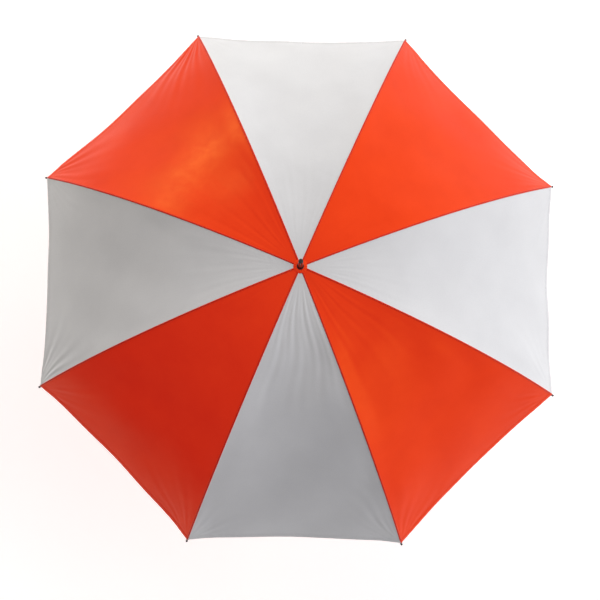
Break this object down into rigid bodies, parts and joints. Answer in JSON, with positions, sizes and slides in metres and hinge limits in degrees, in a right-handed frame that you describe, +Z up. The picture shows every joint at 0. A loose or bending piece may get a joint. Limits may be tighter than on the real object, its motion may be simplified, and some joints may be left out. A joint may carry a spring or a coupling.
{
  "type": "golf umbrella",
  "caption": "Open manual golf umbrella: satin canopy of alternating orange and white gores on hinged steel ribs, sliding runner, wooden shaft and grip",
  "frame": {"origin": "centre of the lower end of the grip", "axes": "+Z up the shaft towards the ferrule, X and Y through the middles of white gores, -Y towards the viewer"},
  "size_m": [1.2164, 1.2164, 1.0423],
  "materials": {
    "orange_cloth": "satin coated nylon",
    "white_cloth": "satin coated nylon",
    "black_steel": "black lacquered steel",
    "nickel": "polished nickel plate",
    "spring_steel": "drawn wire",
    "shaft_wood": "varnished beech",
    "grip_wood": "dark varnished wood"
  },
  "bodies": {
    "shaft": {"shaft": "shaft_wood", "handle": "grip_wood", "handle_collar": "nickel", "handle_end_cap": "nickel", "ferrule": "black_steel", "ferrule_tip": "black_steel", "crown_cap": "orange_cloth", "top_notch": "nickel", "notch_wire": "spring_steel", "stop_pin": "spring_steel", "top_catch_pin": "spring_steel", "bottom_catch_pin": "spring_steel"},
    "top_catch": {"top_catch": "spring_steel"},
    "bottom_catch": {"bottom_catch": "spring_steel"},
    "slider": {"runner": "nickel", "runner_wire": "spring_steel"},
    "rib_1": {"rib_inner_1": "black_steel", "gore_1": "orange_cloth"},
    "rib_end_1": {"rib_outer_1": "black_steel", "rib_tip_1": "black_steel"},
    "arm_1": {"stretcher_1": "black_steel"},
    "rib_2": {"rib_inner_2": "black_steel", "gore_2": "white_cloth"},
    "rib_end_2": {"rib_outer_2": "black_steel", "rib_tip_2": "black_steel"},
    "arm_2": {"stretcher_2": "black_steel"},
    "rib_3": {"rib_inner_3": "black_steel", "gore_3": "orange_cloth"},
    "rib_end_3": {"rib_outer_3": "black_steel", "rib_tip_3": "black_steel"},
    "arm_3": {"stretcher_3": "black_steel"},
    "rib_4": {"rib_inner_4": "black_steel", "gore_4": "white_cloth"},
    "rib_end_4": {"rib_outer_4": "black_steel", "rib_tip_4": "black_steel"},
    "arm_4": {"stretcher_4": "black_steel"},
    "rib_5": {"rib_inner_5": "black_steel", "gore_5": "orange_cloth"},
    "rib_end_5": {"rib_outer_5": "black_steel", "rib_tip_5": "black_steel", "tie_strap": "orange_cloth", "strap_button": "nickel"},
    "arm_5": {"stretcher_5": "black_steel"},
    "rib_6": {"rib_inner_6": "black_steel", "gore_6": "white_cloth"},
    "rib_end_6": {"rib_outer_6": "black_steel", "rib_tip_6": "black_steel"},
    "arm_6": {"stretcher_6": "black_steel"},
    "rib_7": {"rib_inner_7": "black_steel", "gore_7": "orange_cloth"},
    "rib_end_7": {"rib_outer_7": "black_steel", "rib_tip_7": "black_steel"},
    "arm_7": {"stretcher_7": "black_steel"},
    "rib_8": {"rib_inner_8": "black_steel", "gore_8": "white_cloth"},
    "rib_end_8": {"rib_outer_8": "black_steel", "rib_tip_8": "black_steel"},
    "arm_8": {"stretcher_8": "black_steel"}
  },
  "joints": [
    {"name": "canopy_fold", "type": "hinge", "parent": "shaft", "child": "rib_1", "pos_m": [0.01016, 0.00421, 0.96], "axis": [-0.3827, 0.9239, 0], "range_deg": [0, 76.4], "deforming": ["gore_1", "gore_2", "gore_3", "gore_4", "gore_5", "gore_6", "gore_7", "gore_8", "tie_strap"]},
    {"name": "rib_1_flex", "type": "hinge", "parent": "rib_1", "child": "rib_end_1", "pos_m": [0.31412, 0.13011, 0.89605], "axis": [-0.3827, 0.9239, 0], "range_deg": [-21.6, 0]},
    {"name": "stretcher_1_swing", "type": "hinge", "parent": "rib_1", "child": "arm_1", "pos_m": [0.31412, 0.13011, 0.89605], "axis": [-0.3827, 0.9239, 0], "range_deg": [-152.85, 0]},
    {"name": "runner_travel", "type": "hinge", "parent": "arm_1", "child": "slider", "pos_m": [0.01016, 0.00421, 0.8321], "axis": [-0.3827, 0.9239, 0], "range_deg": [0, 76.45]},
    {"name": "rib_2_fold", "type": "hinge", "parent": "shaft", "child": "rib_2", "pos_m": [0.00421, 0.01016, 0.96], "axis": [-0.9239, 0.3827, 0], "range_deg": [0, 76.4]},
    {"name": "rib_2_flex", "type": "hinge", "parent": "rib_2", "child": "rib_end_2", "pos_m": [0.13011, 0.31412, 0.89605], "axis": [-0.9239, 0.3827, 0], "range_deg": [-21.6, 0]},
    {"name": "stretcher_2_swing", "type": "hinge", "parent": "rib_2", "child": "arm_2", "pos_m": [0.13011, 0.31412, 0.89605], "axis": [-0.9239, 0.3827, 0], "range_deg": [-152.85, 0]},
    {"name": "rib_3_fold", "type": "hinge", "parent": "shaft", "child": "rib_3", "pos_m": [-0.00421, 0.01016, 0.96], "axis": [-0.9239, -0.3827, 0], "range_deg": [0, 76.4]},
    {"name": "rib_3_flex", "type": "hinge", "parent": "rib_3", "child": "rib_end_3", "pos_m": [-0.13011, 0.31412, 0.89605], "axis": [-0.9239, -0.3827, 0], "range_deg": [-21.6, 0]},
    {"name": "stretcher_3_swing", "type": "hinge", "parent": "rib_3", "child": "arm_3", "pos_m": [-0.13011, 0.31412, 0.89605], "axis": [-0.9239, -0.3827, 0], "range_deg": [-152.85, 0]},
    {"name": "rib_4_fold", "type": "hinge", "parent": "shaft", "child": "rib_4", "pos_m": [-0.01016, 0.00421, 0.96], "axis": [-0.3827, -0.9239, 0], "range_deg": [0, 76.4]},
    {"name": "rib_4_flex", "type": "hinge", "parent": "rib_4", "child": "rib_end_4", "pos_m": [-0.31412, 0.13011, 0.89605], "axis": [-0.3827, -0.9239, 0], "range_deg": [-21.6, 0]},
    {"name": "stretcher_4_swing", "type": "hinge", "parent": "rib_4", "child": "arm_4", "pos_m": [-0.31412, 0.13011, 0.89605], "axis": [-0.3827, -0.9239, 0], "range_deg": [-152.85, 0]},
    {"name": "rib_5_fold", "type": "hinge", "parent": "shaft", "child": "rib_5", "pos_m": [-0.01016, -0.00421, 0.96], "axis": [0.3827, -0.9239, 0], "range_deg": [0, 76.4]},
    {"name": "rib_5_flex", "type": "hinge", "parent": "rib_5", "child": "rib_end_5", "pos_m": [-0.31412, -0.13011, 0.89605], "axis": [0.3827, -0.9239, 0], "range_deg": [-21.6, 0]},
    {"name": "stretcher_5_swing", "type": "hinge", "parent": "rib_5", "child": "arm_5", "pos_m": [-0.31412, -0.13011, 0.89605], "axis": [0.3827, -0.9239, 0], "range_deg": [-152.85, 0]},
    {"name": "rib_6_fold", "type": "hinge", "parent": "shaft", "child": "rib_6", "pos_m": [-0.00421, -0.01016, 0.96], "axis": [0.9239, -0.3827, 0], "range_deg": [0, 76.4]},
    {"name": "rib_6_flex", "type": "hinge", "parent": "rib_6", "child": "rib_end_6", "pos_m": [-0.13011, -0.31412, 0.89605], "axis": [0.9239, -0.3827, 0], "range_deg": [-21.6, 0]},
    {"name": "stretcher_6_swing", "type": "hinge", "parent": "rib_6", "child": "arm_6", "pos_m": [-0.13011, -0.31412, 0.89605], "axis": [0.9239, -0.3827, 0], "range_deg": [-152.85, 0]},
    {"name": "rib_7_fold", "type": "hinge", "parent": "shaft", "child": "rib_7", "pos_m": [0.00421, -0.01016, 0.96], "axis": [0.9239, 0.3827, 0], "range_deg": [0, 76.4]},
    {"name": "rib_7_flex", "type": "hinge", "parent": "rib_7", "child": "rib_end_7", "pos_m": [0.13011, -0.31412, 0.89605], "axis": [0.9239, 0.3827, 0], "range_deg": [-21.6, 0]},
    {"name": "stretcher_7_swing", "type": "hinge", "parent": "rib_7", "child": "arm_7", "pos_m": [0.13011, -0.31412, 0.89605], "axis": [0.9239, 0.3827, 0], "range_deg": [-152.85, 0]},
    {"name": "rib_8_fold", "type": "hinge", "parent": "shaft", "child": "rib_8", "pos_m": [0.01016, -0.00421, 0.96], "axis": [0.3827, 0.9239, 0], "range_deg": [0, 76.4]},
    {"name": "rib_8_flex", "type": "hinge", "parent": "rib_8", "child": "rib_end_8", "pos_m": [0.31412, -0.13011, 0.89605], "axis": [0.3827, 0.9239, 0], "range_deg": [-21.6, 0]},
    {"name": "stretcher_8_swing", "type": "hinge", "parent": "rib_8", "child": "arm_8", "pos_m": [0.31412, -0.13011, 0.89605], "axis": [0.3827, 0.9239, 0], "range_deg": [-152.85, 0]},
    {"name": "top_catch_press", "type": "hinge", "parent": "shaft", "child": "top_catch", "pos_m": [0.0026, 0, 0.7243], "axis": [0, -1, 0], "range_deg": [-6, 0], "stiffness_Nm_per_rad": 0.6, "springref_deg": -7.16},
    {"name": "bottom_catch_press", "type": "hinge", "parent": "shaft", "child": "bottom_catch", "pos_m": [0.0026, 0, 0.27597], "axis": [0, 1, 0], "range_deg": [-6, 0], "stiffness_Nm_per_rad": 0.6, "springref_deg": -7.16}
  ],
  "couplings": [
    {"joint": "rib_1_flex", "follows": "canopy_fold", "ratio": -0.28207},
    {"joint": "stretcher_1_swing", "follows": "canopy_fold", "ratio": -2},
    {"joint": "runner_travel", "follows": "canopy_fold", "ratio": 1},
    {"joint": "rib_2_fold", "follows": "canopy_fold", "ratio": 1},
    {"joint": "rib_2_flex", "follows": "canopy_fold", "ratio": -0.28207},
    {"joint": "stretcher_2_swing", "follows": "canopy_fold", "ratio": -2},
    {"joint": "rib_3_fold", "follows": "canopy_fold", "ratio": 1},
    {"joint": "rib_3_flex", "follows": "canopy_fold", "ratio": -0.28207},
    {"joint": "stretcher_3_swing", "follows": "canopy_fold", "ratio": -2},
    {"joint": "rib_4_fold", "follows": "canopy_fold", "ratio": 1},
    {"joint": "rib_4_flex", "follows": "canopy_fold", "ratio": -0.28207},
    {"joint": "stretcher_4_swing", "follows": "canopy_fold", "ratio": -2},
    {"joint": "rib_5_fold", "follows": "canopy_fold", "ratio": 1},
    {"joint": "rib_5_flex", "follows": "canopy_fold", "ratio": -0.28207},
    {"joint": "stretcher_5_swing", "follows": "canopy_fold", "ratio": -2},
    {"joint": "rib_6_fold", "follows": "canopy_fold", "ratio": 1},
    {"joint": "rib_6_flex", "follows": "canopy_fold", "ratio": -0.28207},
    {"joint": "stretcher_6_swing", "follows": "canopy_fold", "ratio": -2},
    {"joint": "rib_7_fold", "follows": "canopy_fold", "ratio": 1},
    {"joint": "rib_7_flex", "follows": "canopy_fold", "ratio": -0.28207},
    {"joint": "stretcher_7_swing", "follows": "canopy_fold", "ratio": -2},
    {"joint": "rib_8_fold", "follows": "canopy_fold", "ratio": 1},
    {"joint": "rib_8_flex", "follows": "canopy_fold", "ratio": -0.28207},
    {"joint": "stretcher_8_swing", "follows": "canopy_fold", "ratio": -2}
  ]
}
